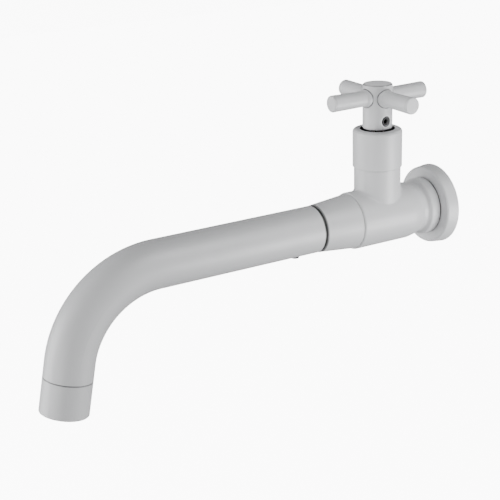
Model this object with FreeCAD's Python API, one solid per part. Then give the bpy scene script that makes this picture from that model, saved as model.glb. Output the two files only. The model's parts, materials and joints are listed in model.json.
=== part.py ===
import FreeCAD, Part
import math
import os

# Cold water tap for a wall, with a quarter-turn cross handle and a long swivel spout, in millimetres.
# The origin is the centre of the wall flange's back face. +Z is up, the wall is on the +Y side, and
# the spout runs out along -Y. Stations are distances from the wall along the barrel's axis.

# Clearances
RUNNING_CLEARANCE = 0.08      # radial, where one body turns in another
SEAT_CLEARANCE = 0.05         # radial, where parts are screwed or pressed together
TURN_GAP = 0.1                # along the axis, between faces that turn past each other
FREE_GAP = 0.4                # between turning parts that never bear on each other
FINE_EDGE = 0.3               # rounding of turned edges that the hand meets

# Wall flange and its gasket
FLANGE_RADIUS = 24.4
FLANGE_TAPER = 0.9
FLANGE_DEPTH = 7.9
FLANGE_WALL = 1.5
FLANGE_EDGE = 1.5
GASKET_THICKNESS = 0.5
GASKET_INSET = 0.4

# Inlet nipple, half-inch pipe thread towards the wall
INLET_THREAD_RADIUS = 10.48
INLET_THREAD_LENGTH = 10.5
INLET_RELIEF = 0.5
FLANGE_HOLE_SPARE = 0.2
SHANK_STEP = 0.88
SHANK_GRIP = 10.0
NIPPLE_WALL = 3.6
NIPPLE_KEY_DEPTH = 8.0

# Body casting, barrel
BODY_RADIUS = 17.25
BODY_WALL = 2.9
BODY_EDGE = 1.2
BEAD_STEP = 0.1
BEAD_START_EDGE = 0.4
BEAD_LENGTH = 5.8
BEAD_EDGE = 1.3
SWELL_START_EDGE = 5.2
SWELL_END_EDGE = 10.4
GROOVE_DEPTH = 2.25
GROOVE_SIDE = 1.8
GROOVE_LENGTH = 2.4
SWELL_STEP = 0.9
SWELL_SIDE = 3.4
SWELL_LENGTH = 5.0

# Body casting, branch and valve seat
VALVE_FROM_BODY_START = 35.3
VALVE_TO_BODY_END = 21.0
BRANCH_RADIUS = 13.95
BRANCH_WALL = 2.15
BRANCH_HEIGHT = 31.1
BRANCH_FILLET = 2.2
SEAT_HEIGHT = 4.0
SEAT_WEB = 3.0
SEAT_PORT_RADIUS = 5.5
INLET_CAVITY_RADIUS = 9.0
CHAMBER_MARGIN = 0.8
PARTITION = 3.0
MOUTH_WALL = 4.25
MOUTH_DEPTH = 8.5
MOUTH_SHOULDER = 3.5
BARREL_SIDE_MARGIN = 1.0

# Valve headwork
CARTRIDGE_THREAD_RADIUS = 10.48
CARTRIDGE_THREAD_LENGTH = 10.0
CARTRIDGE_BARREL_STEP = 1.58
CARTRIDGE_BARREL_WALL = 0.9
CARTRIDGE_FOOT_GAP = 1.0
CARTRIDGE_HEX_FLATS = 21.5
CARTRIDGE_HEX_HEIGHT = 6.5
CARTRIDGE_NECK_STEP = 0.45
CARTRIDGE_NECK_HEIGHT = 8.9
CARTRIDGE_RING_SECTION = 0.75
WINDOW_HEIGHT = 5.8
WINDOW_ANGLE = 100.0
STOP_RIB_ANGLE = 38.0
STOP_LUG_ANGLE = 50.0
STOP_MARGIN = 1.0
STOP_ROOT = 0.5
WINDOW_SPARE = 1.0
SEAT_SEAL_HEIGHT = 3.0
DISC_THICKNESS = 3.0
DISC_PORT_BRIDGE = 4.8
DISC_PORT_MARGIN = 0.2
DISC_PORT_ANGLE = 76.0

# Spindle
SPINDLE_RADIUS = 4.0
STEM_STEP = 0.8
STEM_HEIGHT = 6.3
HEAD_STEP = 1.2
HEAD_HEIGHT = 3.0
TONGUE_WIDTH = 4.0
TONGUE_MARGIN = 2.3
TONGUE_DEPTH = 1.7
WASHER_THICKNESS = 0.8
SPINDLE_RING_SECTION = 0.5
SPINDLE_RING_HEIGHT = 8.0
SPINDLE_RING_PITCH = 4.0
SPLINE_TEETH = 20
SPLINE_DEPTH = 0.45
SPLINE_LENGTH = 14.0
CLIP_THICKNESS = 1.0
CLIP_DEPTH = 0.8
CLIP_STEP = 1.6
CLIP_OPENING = 70.0

# Bonnet sleeve
SLEEVE_STEP = 0.8
SLEEVE_WALL = 1.85
SLEEVE_HEIGHT = 22.9
SLEEVE_LIP_HEIGHT = 10.0
SLEEVE_ROUND = 3.2

# Cross handle
HUB_RADIUS = 8.85
HUB_HEIGHT = 26.2
HUB_SHOULDER = 0.5
HUB_LIFT = 0.3
HUB_FOOT_EDGE = 0.8
HUB_ENTRY_STEP = 0.4
HUB_ENTRY_DEPTH = 1.4
CAP_MARGIN = 0.55
CAP_STUB_MARGIN = 2.3
CAP_STUB_DEPTH = 1.5
CAP_RIM = 0.35
CAP_EDGE = 0.15
CAP_RISE = 0.25
ARM_HEIGHT = 18.6
ARM_REACH = 33.3
ARM_COUNT = 4
ARM_ROOT_RADIUS = 4.6
ARM_TIP_RADIUS = 4.95
ARM_TIP_EDGE = 0.9
ARM_COLLAR_STEP = 0.8
ARM_COLLAR_SUNK = 1.85
ARM_COLLAR_PROUD = 0.15
ARM_COLLAR_GAP = 0.3
ARM_FLARE = 1.4
ARM_FLARE_EDGE = 1.0
ARM_TENON_RADIUS = 2.5
ARM_TENON_LENGTH = 2.8
HANDLE_SCREW_HEIGHT = 5.1
HANDLE_SCREW_RADIUS = 2.5
HANDLE_SCREW_MOUTH = 3.05
HANDLE_SCREW_SUNK = 0.9
HANDLE_SCREW_TIP_STEP = 0.8
HANDLE_SCREW_TIP = 0.6
SCREW_EDGE = 0.2
SCREW_KEY_FLATS = 2.5
SCREW_KEY_DEPTH = 1.8

# Outlet connector and its spigot
CONNECTOR_SEAL_LENGTH = 1.5
CONE_LENGTH = 24.4
CONE_BASE_STEP = 0.75
CONE_END_STEP = 0.2
SPIGOT_LENGTH = 30.3
SPIGOT_WALL = 3.42
SPIGOT_EDGE = 0.5
SPIGOT_RING_SECTION = 0.9
SPIGOT_RING_PITCH = 4.1
SLIP_RING_LENGTH = 1.5
SLIP_RING_INSET = 0.8

# Spout
TUBE_RADIUS = 14.0
TUBE_WALL = 1.5
TUBE_EDGE = 0.3
TUBE_STRAIGHT = 104.1
BEND_RADIUS = 55.7
BEND_ANGLE = 78.7
TAIL_LENGTH = 9.0
SOCKET_LENGTH = 30.0
SOCKET_WALL = 1.45
SPOUT_SCREW_STATION = 12.8
SPOUT_SCREW_RADIUS = 2.5
SPOUT_SCREW_PROUD = 1.2
SPOUT_SCREW_TIP_RADIUS = 1.4
SCREW_GROOVE_DEPTH = 1.3
SCREW_GROOVE_GAP = 0.3

# Outlet
COLLAR_LENGTH = 20.3
COLLAR_WALL = 2.95
COLLAR_EDGE = 0.8
COLLAR_LIP = 1.8
COLLAR_LIP_WIDTH = 1.25
INSERT_GRIP = 8.0
INSERT_WALL = 1.7
INSERT_THREAD_LENGTH = 8.5
AERATOR_WASHER_LENGTH = 1.5
AERATOR_RIM_WIDTH = 0.85
AERATOR_RIM_LENGTH = 1.5
AERATOR_WALL = 1.4
AERATOR_DECK = 2.0
AERATOR_HOLES = 12
AERATOR_HOLE_RADIUS = 0.9
SCREEN_THICKNESS = 1.0
SCREEN_CELL = 2.4
SCREEN_BAR = 0.5

# Places worked out from the sizes above
SHANK_RADIUS = INLET_THREAD_RADIUS - SHANK_STEP
NIPPLE_BORE = SHANK_RADIUS - NIPPLE_WALL
BODY_START = FLANGE_DEPTH + GASKET_THICKNESS
VALVE_STATION = BODY_START + VALVE_FROM_BODY_START
BODY_END = VALVE_STATION + VALVE_TO_BODY_END
BEAD_RADIUS = BODY_RADIUS - BEAD_STEP
CHAMBER_RADIUS = BODY_RADIUS - BODY_WALL
VALVE_CHAMBER_RADIUS = BRANCH_RADIUS - BRANCH_WALL
MOUTH_START = BODY_END - MOUTH_DEPTH
MOUTH_RADIUS = BODY_RADIUS - MOUTH_WALL
OUTLET_PASSAGE_RADIUS = MOUTH_RADIUS - MOUTH_SHOULDER
CONE_END = BODY_END + CONE_LENGTH
SPIGOT_END = CONE_END + SPIGOT_LENGTH
SPOUT_START = CONE_END + SLIP_RING_LENGTH
TUBE_BORE = TUBE_RADIUS - TUBE_WALL
SOCKET_RADIUS = TUBE_BORE - SEAT_CLEARANCE
SOCKET_BORE = SOCKET_RADIUS - SOCKET_WALL
SPIGOT_RADIUS = SOCKET_BORE - RUNNING_CLEARANCE
SPIGOT_BORE = SPIGOT_RADIUS - SPIGOT_WALL
SCREW_STATION = SPOUT_START + SPOUT_SCREW_STATION
GROOVE_FLOOR = SPIGOT_RADIUS - SCREW_GROOVE_DEPTH
BEND_START = SPOUT_START + TUBE_STRAIGHT
COLLAR_END = TAIL_LENGTH + COLLAR_LENGTH
COLLAR_BORE = TUBE_RADIUS - COLLAR_WALL
COLLAR_LIP_RADIUS = COLLAR_BORE - COLLAR_LIP_WIDTH
INSERT_END = TAIL_LENGTH + INSERT_THREAD_LENGTH
INSERT_THREAD_RADIUS = COLLAR_BORE - SEAT_CLEARANCE
INSERT_BORE = INSERT_THREAD_RADIUS - INSERT_WALL
AERATOR_START = INSERT_END + AERATOR_WASHER_LENGTH
AERATOR_END = COLLAR_END - COLLAR_LIP
AERATOR_RADIUS = COLLAR_BORE - AERATOR_RIM_WIDTH

CARTRIDGE_BARREL_RADIUS = CARTRIDGE_THREAD_RADIUS - CARTRIDGE_BARREL_STEP
CARTRIDGE_CAVITY_RADIUS = CARTRIDGE_BARREL_RADIUS - CARTRIDGE_BARREL_WALL
CARTRIDGE_NECK_RADIUS = CARTRIDGE_HEX_FLATS / 2 - CARTRIDGE_NECK_STEP
HEAD_RADIUS = SPINDLE_RADIUS + HEAD_STEP
DISC_FLOOR = SEAT_HEIGHT + SEAT_SEAL_HEIGHT
MOVING_DISC_FLOOR = DISC_FLOOR + DISC_THICKNESS
STEM_FLOOR = MOVING_DISC_FLOOR + DISC_THICKNESS
HEAD_FLOOR = STEM_FLOOR + STEM_HEIGHT
HEAD_TOP = HEAD_FLOOR + HEAD_HEIGHT
CAVITY_TOP = HEAD_TOP + WASHER_THICKNESS + TURN_GAP
HEX_FLOOR = BRANCH_HEIGHT + 2 * CARTRIDGE_RING_SECTION
HEX_TOP = HEX_FLOOR + CARTRIDGE_HEX_HEIGHT
NECK_TOP = HEX_TOP + CARTRIDGE_NECK_HEIGHT
SPINDLE_BORE = SPINDLE_RADIUS + RUNNING_CLEARANCE
TONGUE_LENGTH = 2 * (CARTRIDGE_CAVITY_RADIUS - TONGUE_MARGIN)
CLIP_FLOOR = NECK_TOP + TURN_GAP
CLIP_TOP = CLIP_FLOOR + CLIP_THICKNESS
SLEEVE_RADIUS = BRANCH_RADIUS + SLEEVE_STEP
SLEEVE_BORE = SLEEVE_RADIUS - SLEEVE_WALL
SLEEVE_TOP = BRANCH_HEIGHT + SLEEVE_HEIGHT
HUB_FLOOR = SLEEVE_TOP + HUB_LIFT
HUB_TOP = HUB_FLOOR + HUB_HEIGHT
CAP_RADIUS = HUB_RADIUS - CAP_MARGIN
CAP_STUB_RADIUS = CAP_RADIUS - CAP_STUB_MARGIN
ARM_AXIS_HEIGHT = HUB_FLOOR + ARM_HEIGHT
ARM_COLLAR_RADIUS = ARM_ROOT_RADIUS + ARM_COLLAR_STEP
ARM_COLLAR_START = HUB_RADIUS - ARM_COLLAR_SUNK
ARM_COLLAR_END = HUB_RADIUS + ARM_COLLAR_PROUD
ARM_TENON_START = ARM_COLLAR_START - ARM_TENON_LENGTH
SPLINE_TOP = HUB_FLOOR + SPLINE_LENGTH

TOLERANCE = 0.01
QUARTER_TURN = 90.0
HALF_TURN = 180.0
FULL_TURN = 360.0
CORNER_ROOM = 0.45            # share of a side that the rounding of one corner may take
SEAL_SIDES = 8
UP = FreeCAD.Vector(0, 0, 1)
OUTWARD = FreeCAD.Vector(0, -1, 0)
INWARD = FreeCAD.Vector(0, 1, 0)
SIDEWAYS = FreeCAD.Vector(1, 0, 0)
ORIGIN = FreeCAD.Vector(0, 0, 0)


def on_barrel(radius, station):
    """Point over the barrel's axis, at a radius and a distance from the wall."""
    return FreeCAD.Vector(0, -station, radius)


def on_valve(radius, height):
    """Point beside the valve's upright axis, at a radius and a height over the barrel's axis."""
    return FreeCAD.Vector(radius, -VALVE_STATION, height)


def upright(radius, height):
    """Point beside the Z axis, for pieces that are turned first and placed afterwards."""
    return FreeCAD.Vector(radius, 0, height)


def rounded_corner(before, corner, after, rounding):
    """Start, middle and end of the arc that rounds a corner, no larger than its sides allow."""
    to_before = before - corner
    to_after = after - corner
    room = CORNER_ROOM * min(to_before.Length, to_after.Length)
    to_before.normalize()
    to_after.normalize()
    half = to_before.getAngle(to_after) / 2
    setback = min(rounding / math.tan(half), room)
    radius = setback * math.tan(half)
    inward = (to_before + to_after).normalize()
    middle = corner + inward * (radius / math.sin(half) - radius)
    return corner + to_before * setback, middle, corner + to_after * setback


def outline(corners, place):
    """Closed wire through (radius, station) corners; a third number rounds that corner."""
    points = [place(corner[0], corner[1]) for corner in corners]
    edges = []
    starts = []
    ends = []
    for index, corner in enumerate(corners):
        point = points[index]
        if len(corner) == 2:
            starts.append(point)
            ends.append(point)
            continue
        before = points[index - 1]
        after = points[(index + 1) % len(points)]
        start, middle, end = rounded_corner(before, point, after, corner[2])
        edges.append(Part.Arc(start, middle, end).toShape())
        starts.append(start)
        ends.append(end)
    for index, end in enumerate(ends):
        following = starts[(index + 1) % len(starts)]
        if end.distanceToPoint(following) > TOLERANCE / 1000:
            edges.append(Part.LineSegment(end, following).toShape())
    return Part.Wire(Part.__sortEdges__(edges))


def turned(corners, place, axis):
    """Solid turned from an outline about the axis of its place."""
    face = Part.Face(outline(corners, place))
    return face.revolve(place(0, 0), axis, FULL_TURN)


def barrel_turned(corners):
    return turned(corners, on_barrel, OUTWARD)


def valve_turned(corners):
    return turned(corners, on_valve, UP)


def rod(radius, start, end):
    """Round rod between two points."""
    return Part.makeCylinder(radius, start.distanceToPoint(end), start, end - start)


def barrel_rod(radius, start, end):
    return rod(radius, on_barrel(0, start), on_barrel(0, end))


def valve_rod(radius, bottom, top):
    return rod(radius, on_valve(0, bottom), on_valve(0, top))


def regular_prism(flats, sides, start, end, turn=0.0):
    """Upright regular prism of a width across flats, between two heights."""
    corner_radius = flats / 2 / math.cos(math.pi / sides)
    corners = []
    for index in range(sides + 1):
        angle = 2 * math.pi * index / sides + math.radians(turn)
        across = corner_radius * math.cos(angle)
        along = corner_radius * math.sin(angle)
        corners.append(FreeCAD.Vector(across, along, start))
    return Part.Face(Part.makePolygon(corners)).extrude(UP * (end - start))


def sector(inner, outer, bottom, top, middle, width):
    """Part of an upright ring about the valve's axis, width degrees about its middle angle."""
    base = on_valve(0, bottom)
    wedge = Part.makeCylinder(outer, top - bottom, base, UP, width)
    wedge.rotate(base, UP, middle - width / 2)
    return wedge.cut(valve_rod(inner, bottom, top))


def seal_ring(inner, section, centre, turner):
    """Seal ring of an eight-sided section that stands on an inner radius."""
    corners = []
    for index in range(SEAL_SIDES):
        angle = (2 * index + 1) * math.pi / SEAL_SIDES
        radius = inner + section + section * math.cos(angle)
        corners.append((radius, centre + section * math.sin(angle)))
    return turner(corners)


def placed_at_outlet(shape):
    """Moves a piece from the Z axis to the end of the spout's bend, along the outlet's axis."""
    angle = math.radians(BEND_ANGLE)
    reach = BEND_START + BEND_RADIUS * math.sin(angle)
    drop = BEND_RADIUS * (1 - math.cos(angle))
    direction = FreeCAD.Vector(0, -math.cos(angle), -math.sin(angle))
    turn = FreeCAD.Rotation(UP, direction)
    return shape.transformed(FreeCAD.Placement(FreeCAD.Vector(0, -reach, -drop), turn).toMatrix())


def outlet_turned(corners):
    return placed_at_outlet(turned(corners, upright, UP))


def wall_flange():
    """Shallow cup with a rounded rim, open towards the wall."""
    front = FLANGE_RADIUS - FLANGE_TAPER
    hole = INLET_THREAD_RADIUS + FLANGE_HOLE_SPARE
    return barrel_turned([
        (FLANGE_RADIUS - FLANGE_WALL, 0),
        (FLANGE_RADIUS, 0),
        (front, FLANGE_DEPTH, FLANGE_EDGE),
        (hole, FLANGE_DEPTH),
        (hole, FLANGE_DEPTH - FLANGE_WALL),
        (front - FLANGE_WALL, FLANGE_DEPTH - FLANGE_WALL, FLANGE_EDGE),
    ])


def flange_gasket():
    """Thin ring between the flange and the neck's bead."""
    inner = SHANK_RADIUS + SEAT_CLEARANCE
    outer = BEAD_RADIUS - GASKET_INSET
    return barrel_turned([
        (inner, FLANGE_DEPTH),
        (outer, FLANGE_DEPTH),
        (outer, BODY_START),
        (inner, BODY_START),
    ])


def inlet_nipple():
    """Nipple with the wall thread, a shank through the flange and a hexagon socket for its key."""
    inner_end = BODY_START + SHANK_GRIP
    wall_end = INLET_RELIEF + INLET_THREAD_LENGTH
    nipple = barrel_turned([
        (NIPPLE_BORE, -wall_end),
        (INLET_THREAD_RADIUS - INLET_RELIEF, -wall_end),
        (INLET_THREAD_RADIUS, INLET_RELIEF - wall_end),
        (INLET_THREAD_RADIUS, -INLET_RELIEF),
        (SHANK_RADIUS, INLET_RELIEF),
        (SHANK_RADIUS, inner_end),
        (NIPPLE_BORE, inner_end),
    ])
    key = regular_prism(2 * NIPPLE_BORE, 6, 0, NIPPLE_KEY_DEPTH)
    key.rotate(ORIGIN, SIDEWAYS, QUARTER_TURN)
    key.translate(FreeCAD.Vector(0, wall_end, 0))
    return nipple.cut(key)


def barrel_outside():
    """Barrel with a bead and a groove at the wall end and a rounded outer end."""
    bead_end = BODY_START + BEAD_LENGTH
    groove_start = bead_end + GROOVE_SIDE
    groove_end = groove_start + GROOVE_LENGTH
    swell_start = groove_end + SWELL_SIDE
    return barrel_turned([
        (0, BODY_START),
        (BEAD_RADIUS, BODY_START, BEAD_START_EDGE),
        (BEAD_RADIUS, bead_end, BEAD_EDGE),
        (BODY_RADIUS - GROOVE_DEPTH, groove_start, BEAD_EDGE),
        (BODY_RADIUS - GROOVE_DEPTH, groove_end, BEAD_EDGE),
        (BODY_RADIUS - SWELL_STEP, swell_start, SWELL_START_EDGE),
        (BODY_RADIUS, swell_start + SWELL_LENGTH, SWELL_END_EDGE),
        (BODY_RADIUS, BODY_END, BODY_EDGE),
        (0, BODY_END),
    ])


def junction_edges(shape):
    """Edges of the curve where the branch meets the barrel."""
    found = []
    for edge in shape.Edges:
        box = edge.BoundBox
        across = max(box.XMax, -box.XMin)
        between = box.ZMin > BARREL_SIDE_MARGIN and box.ZMax < BRANCH_HEIGHT - BARREL_SIDE_MARGIN
        if between and across < BRANCH_RADIUS + TOLERANCE and box.ZLength > TOLERANCE:
            found.append(edge)
    return found


def barrel_block(start, end, bottom, top):
    """Block as wide as the barrel between two stations and two heights."""
    corner = FreeCAD.Vector(-BODY_RADIUS, -end, bottom)
    return Part.makeBox(2 * BODY_RADIUS, end - start, top - bottom, corner)


def inlet_chamber():
    """Lower half of the barrel under the seat, open to the inlet cavity."""
    start = BODY_START + SHANK_GRIP
    end = VALVE_STATION + SEAT_PORT_RADIUS + CHAMBER_MARGIN
    lower = barrel_block(start, end, -BODY_RADIUS, SEAT_HEIGHT - SEAT_WEB)
    web = VALVE_STATION - VALVE_CHAMBER_RADIUS - PARTITION
    chamber = barrel_rod(CHAMBER_RADIUS, start + 2 * PARTITION, end).common(lower)
    return chamber.fuse(barrel_rod(INLET_CAVITY_RADIUS, start, web))


def outlet_chamber():
    """Space round the headwork over the seat, and the passage to the outlet's mouth."""
    start = VALVE_STATION - VALVE_CHAMBER_RADIUS
    end = MOUTH_START - PARTITION
    upper = barrel_block(start, end, SEAT_HEIGHT, BODY_RADIUS)
    chamber = barrel_rod(CHAMBER_RADIUS, start, end).common(upper)
    thread_floor = BRANCH_HEIGHT - CARTRIDGE_THREAD_LENGTH
    chamber = chamber.fuse(valve_rod(VALVE_CHAMBER_RADIUS, SEAT_HEIGHT, thread_floor))
    return chamber.fuse(barrel_rod(OUTLET_PASSAGE_RADIUS, end - CHAMBER_MARGIN, MOUTH_START))


def body_casting():
    """Barrel and branch, with the water's way in below the seat and out above it."""
    casting = barrel_outside().fuse(valve_rod(BRANCH_RADIUS, 0, BRANCH_HEIGHT)).removeSplitter()
    casting = casting.makeFillet(BRANCH_FILLET, junction_edges(casting))
    casting = casting.cut(inlet_chamber())
    casting = casting.cut(outlet_chamber())
    nipple_bore = SHANK_RADIUS + SEAT_CLEARANCE
    casting = casting.cut(barrel_rod(nipple_bore, BODY_START, BODY_START + SHANK_GRIP))
    casting = casting.cut(barrel_rod(MOUTH_RADIUS, MOUTH_START, BODY_END))
    thread_bore = CARTRIDGE_THREAD_RADIUS + SEAT_CLEARANCE
    casting = casting.cut(valve_rod(thread_bore, SEAT_HEIGHT, BRANCH_HEIGHT))
    return casting.cut(valve_rod(SEAT_PORT_RADIUS, SEAT_HEIGHT - 2 * SEAT_WEB, SEAT_HEIGHT))


def stop_angles():
    """Middle angles of the two stop ribs, which the lugs touch at either end of the quarter turn."""
    first = (STOP_RIB_ANGLE + STOP_LUG_ANGLE) / 2 + STOP_MARGIN
    return [-first, HALF_TURN - first]


def cartridge_housing():
    """Headwork with a thread, a hexagon, a neck, two water windows and two stop ribs."""
    foot = SEAT_HEIGHT + CARTRIDGE_FOOT_GAP
    thread_floor = BRANCH_HEIGHT - CARTRIDGE_THREAD_LENGTH
    housing = valve_turned([
        (CARTRIDGE_CAVITY_RADIUS, foot),
        (CARTRIDGE_BARREL_RADIUS, foot),
        (CARTRIDGE_BARREL_RADIUS, thread_floor),
        (CARTRIDGE_THREAD_RADIUS, thread_floor),
        (CARTRIDGE_THREAD_RADIUS, HEX_FLOOR),
        (CARTRIDGE_NECK_RADIUS, HEX_TOP),
        (CARTRIDGE_NECK_RADIUS, NECK_TOP),
        (SPINDLE_BORE, NECK_TOP),
        (SPINDLE_BORE, CAVITY_TOP),
        (CARTRIDGE_CAVITY_RADIUS, CAVITY_TOP),
    ])
    hexagon = regular_prism(CARTRIDGE_HEX_FLATS, 6, HEX_FLOOR, HEX_TOP)
    hexagon.translate(on_valve(0, 0))
    hexagon = hexagon.cut(valve_rod(SPINDLE_BORE, HEX_FLOOR, HEX_TOP))
    housing = housing.fuse(hexagon)
    for angle in stop_angles():
        rib = sector(HEAD_RADIUS + FREE_GAP, CARTRIDGE_CAVITY_RADIUS + STOP_ROOT, HEAD_FLOOR, CAVITY_TOP,
                     angle, STOP_RIB_ANGLE)
        housing = housing.fuse(rib)
    for angle in (QUARTER_TURN, -QUARTER_TURN):
        window = sector(CARTRIDGE_CAVITY_RADIUS - WINDOW_SPARE, CARTRIDGE_BARREL_RADIUS + WINDOW_SPARE,
                        STEM_FLOOR, STEM_FLOOR + WINDOW_HEIGHT, angle, WINDOW_ANGLE)
        housing = housing.cut(window)
    return housing.removeSplitter()


def cartridge_o_ring():
    """Ring under the hexagon, on the top of the branch."""
    inner = CARTRIDGE_THREAD_RADIUS + SEAT_CLEARANCE
    return seal_ring(inner, CARTRIDGE_RING_SECTION, BRANCH_HEIGHT + CARTRIDGE_RING_SECTION, valve_turned)


def seat_seal():
    """Rubber ring in the headwork's foot, which presses on the seat."""
    outer = CARTRIDGE_CAVITY_RADIUS - SEAT_CLEARANCE
    return valve_turned([
        (SEAT_PORT_RADIUS, SEAT_HEIGHT),
        (outer, SEAT_HEIGHT),
        (outer, DISC_FLOOR),
        (SEAT_PORT_RADIUS, DISC_FLOOR),
    ])


def ported_disc(radius, bottom, port_angle):
    """Ceramic disc with two opposite ports."""
    disc = valve_rod(radius, bottom, bottom + DISC_THICKNESS)
    for angle in (port_angle, port_angle + HALF_TURN):
        port = sector(DISC_PORT_BRIDGE / 2, SEAT_PORT_RADIUS - DISC_PORT_MARGIN, bottom,
                      bottom + DISC_THICKNESS, angle, DISC_PORT_ANGLE)
        disc = disc.cut(port)
    return disc


def fixed_disc():
    return ported_disc(CARTRIDGE_CAVITY_RADIUS - SEAT_CLEARANCE, DISC_FLOOR, 0)


def tongue_block(spare):
    """Block of the drive tongue, or of its slot when it has some spare room."""
    length = TONGUE_LENGTH + 2 * spare
    width = TONGUE_WIDTH + 2 * spare
    floor = STEM_FLOOR - TONGUE_DEPTH - spare
    corner = on_valve(-length / 2, floor) - FreeCAD.Vector(0, width / 2, 0)
    return Part.makeBox(length, width, STEM_FLOOR - floor, corner)


def moving_disc():
    """Disc on the spindle's tongue, with its ports a quarter turn from the fixed ones when closed."""
    disc = ported_disc(CARTRIDGE_CAVITY_RADIUS - FREE_GAP, MOVING_DISC_FLOOR, QUARTER_TURN)
    return disc.cut(tongue_block(SEAT_CLEARANCE))


def splined_rod(radius, bottom, top):
    """Upright rod with straight-sided splines about the valve's axis."""
    corners = []
    for index in range(2 * SPLINE_TEETH + 1):
        angle = math.pi * index / SPLINE_TEETH
        reach = radius if index % 2 == 0 else radius - SPLINE_DEPTH
        corner = FreeCAD.Vector(reach * math.cos(angle), reach * math.sin(angle), 0)
        corners.append(on_valve(0, bottom) + corner)
    return Part.Face(Part.makePolygon(corners)).extrude(UP * (top - bottom))


def spindle_ring_heights():
    """Middle heights of the two seal rings on the spindle."""
    first = CAVITY_TOP + SPINDLE_RING_HEIGHT
    return [first, first + SPINDLE_RING_PITCH]


def spindle():
    """Spindle with a drive tongue, stop lugs, seal grooves, a clip groove and a splined end."""
    floor = SPINDLE_RADIUS - SEAT_CLEARANCE - 2 * SPINDLE_RING_SECTION
    half = SPINDLE_RING_SECTION + SEAT_CLEARANCE
    corners = [
        (0, STEM_FLOOR),
        (SPINDLE_RADIUS - STEM_STEP, STEM_FLOOR),
        (SPINDLE_RADIUS - STEM_STEP, HEAD_FLOOR),
        (HEAD_RADIUS, HEAD_FLOOR),
        (HEAD_RADIUS, HEAD_TOP),
        (SPINDLE_RADIUS, HEAD_TOP),
    ]
    for height in spindle_ring_heights():
        corners.append((SPINDLE_RADIUS, height - half))
        corners.append((floor, height - half))
        corners.append((floor, height + half))
        corners.append((SPINDLE_RADIUS, height + half))
    corners.extend([
        (SPINDLE_RADIUS, CLIP_FLOOR),
        (SPINDLE_RADIUS - CLIP_DEPTH, CLIP_FLOOR),
        (SPINDLE_RADIUS - CLIP_DEPTH, CLIP_TOP),
        (SPINDLE_RADIUS, CLIP_TOP),
        (SPINDLE_RADIUS, HUB_FLOOR),
        (0, HUB_FLOOR),
    ])
    shape = valve_turned(corners)
    shape = shape.fuse(tongue_block(0))
    for angle in (0, HALF_TURN):
        lug = sector(HEAD_RADIUS - STOP_ROOT, CARTRIDGE_CAVITY_RADIUS - FREE_GAP, HEAD_FLOOR, HEAD_TOP, angle,
                     STOP_LUG_ANGLE)
        shape = shape.fuse(lug)
    return shape.fuse(splined_rod(SPINDLE_RADIUS, HUB_FLOOR, SPLINE_TOP))


def spindle_washer():
    """Thrust washer between the stop lugs and the housing."""
    inner = SPINDLE_RADIUS + SEAT_CLEARANCE
    return valve_turned([
        (inner, HEAD_TOP),
        (HEAD_RADIUS, HEAD_TOP),
        (HEAD_RADIUS, HEAD_TOP + WASHER_THICKNESS),
        (inner, HEAD_TOP + WASHER_THICKNESS),
    ])


def spindle_o_rings():
    """The two seal rings in the spindle's grooves."""
    inner = SPINDLE_RADIUS - SEAT_CLEARANCE - 2 * SPINDLE_RING_SECTION
    rings = []
    for height in spindle_ring_heights():
        rings.append(seal_ring(inner, SPINDLE_RING_SECTION, height, valve_turned))
    return Part.makeCompound(rings)


def circlip():
    """Open clip in the spindle's groove, over the housing's neck."""
    inner = SPINDLE_RADIUS - CLIP_DEPTH + SEAT_CLEARANCE
    outer = SPINDLE_RADIUS + CLIP_STEP
    return sector(inner, outer, CLIP_FLOOR, CLIP_TOP, HALF_TURN, FULL_TURN - CLIP_OPENING)


def bonnet_sleeve():
    """Sleeve over the hexagon, screwed on the headwork's neck, with a rounded top."""
    lip_bore = CARTRIDGE_NECK_RADIUS + SEAT_CLEARANCE
    return valve_turned([
        (SLEEVE_BORE, BRANCH_HEIGHT),
        (SLEEVE_RADIUS, BRANCH_HEIGHT, FINE_EDGE),
        (SLEEVE_RADIUS, SLEEVE_TOP, SLEEVE_ROUND),
        (lip_bore, SLEEVE_TOP, FINE_EDGE),
        (lip_bore, SLEEVE_TOP - SLEEVE_LIP_HEIGHT),
        (SLEEVE_BORE, SLEEVE_TOP - SLEEVE_LIP_HEIGHT),
    ])


def along_arm(radius, start, end, angle=0.0):
    """Round rod along a handle arm's axis, between two distances from the valve's axis."""
    shape = rod(radius, on_valve(start, ARM_AXIS_HEIGHT), on_valve(end, ARM_AXIS_HEIGHT))
    shape.rotate(on_valve(0, 0), UP, angle)
    return shape


def arm_angles():
    """Directions of the handle's arms about the valve's axis."""
    return [QUARTER_TURN * index for index in range(ARM_COUNT)]


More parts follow.
